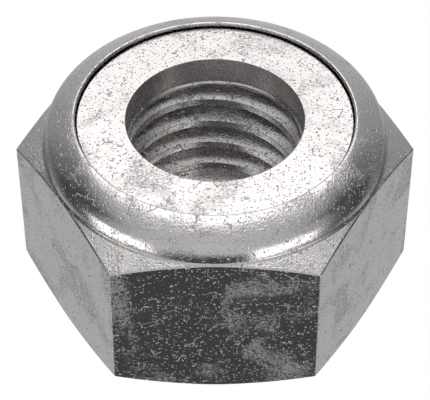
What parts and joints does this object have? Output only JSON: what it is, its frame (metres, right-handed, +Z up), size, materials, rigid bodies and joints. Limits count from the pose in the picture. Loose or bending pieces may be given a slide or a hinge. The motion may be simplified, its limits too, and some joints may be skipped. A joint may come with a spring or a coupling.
{
  "type": "hex lock nut",
  "caption": "Hexagonal prevailing-torque nut with chamfered corners, a rolled collar holding a captive locking ring, and a right-hand threaded bore.",
  "frame": {"origin": "centre of the bearing face, on the thread axis", "axes": "+Z up along the thread axis, from the bearing face to the collar; +X through a corner of the hexagon; -Y and +Y out of two opposite flats"},
  "size_m": [0.0196, 0.017, 0.0104],
  "materials": {
    "nut_steel": "bare steel, lightly pitted and scratched",
    "ring_steel": "bare steel, fine pits and scratches"
  },
  "bodies": {
    "root": {"nut_body": "nut_steel", "locking_ring": "ring_steel"}
  },
  "joints": []
}
